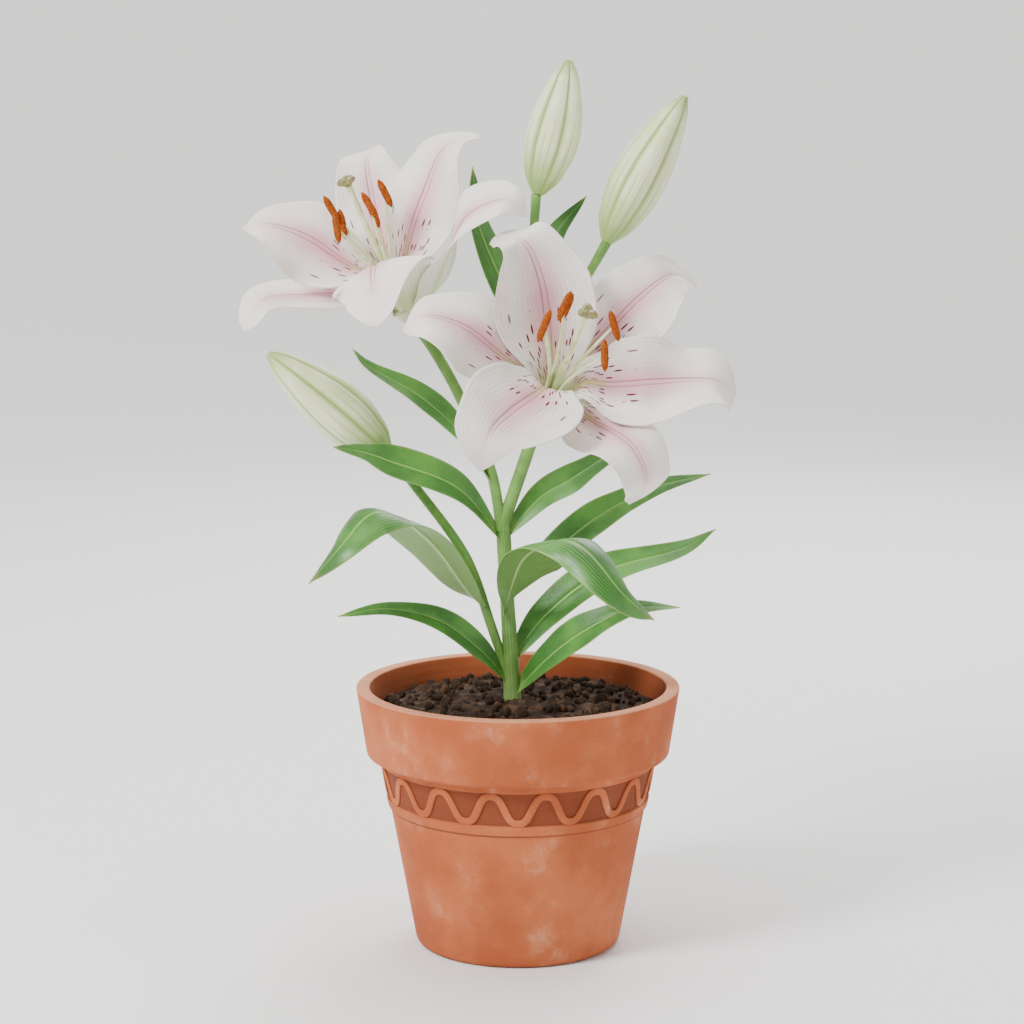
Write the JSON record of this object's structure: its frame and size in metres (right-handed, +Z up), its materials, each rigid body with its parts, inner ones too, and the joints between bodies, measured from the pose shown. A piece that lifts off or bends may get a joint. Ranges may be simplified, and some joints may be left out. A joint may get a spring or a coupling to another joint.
{
  "type": "potted lily",
  "caption": "Potted lily with open flowers, closed buds and arched leaves on a forked stem, in a collared clay pot with a wave band.",
  "frame": {"origin": "centre of the pot's foot, on the surface that it stands on", "axes": "+Z up along the pot's axis, -Y towards the viewer of the front view, +X to that viewer's right"},
  "size_m": [0.2726, 0.1986, 0.4898],
  "materials": {
    "clay": "matt fired clay, unglazed",
    "soil": "rough, crumbly, moist",
    "bulb": "satin, fleshy scales",
    "stem": "satin, waxy",
    "leaf": "satin, waxy, with lengthwise veins",
    "bud": "satin, waxy",
    "tepal": "soft satin, with fine veins and specks",
    "stamen": "powdery anthers on satin filaments",
    "pistil": "satin"
  },
  "bodies": {
    "root": {"pot": "clay", "soil": "soil", "bulb": "bulb", "stem": "stem", "leaf_left_high": "leaf", "leaf_left_middle": "leaf", "leaf_left_folded": "leaf", "leaf_left_low": "leaf", "leaf_right_high": "leaf", "leaf_right_middle": "leaf", "leaf_right_folded": "leaf", "leaf_right_long": "leaf", "leaf_right_low": "leaf", "leaf_upper_left": "leaf", "leaf_upper_right": "leaf", "bud_top": "bud", "bud_right": "bud", "bud_left": "bud", "flower_left_tepal_left": "tepal", "flower_left_tepal_low_left": "tepal", "flower_left_tepal_back": "tepal", "flower_left_tepal_right": "tepal", "flower_left_tepal_low_right": "tepal", "flower_left_tepal_front": "tepal", "flower_left_stamens": "stamen", "flower_left_pistil": "pistil", "flower_right_tepal_top": "tepal", "flower_right_tepal_high_right": "tepal", "flower_right_tepal_right": "tepal", "flower_right_tepal_low_right": "tepal", "flower_right_tepal_front": "tepal", "flower_right_tepal_left": "tepal", "flower_right_stamens": "stamen", "flower_right_pistil": "pistil"}
  },
  "joints": []
}
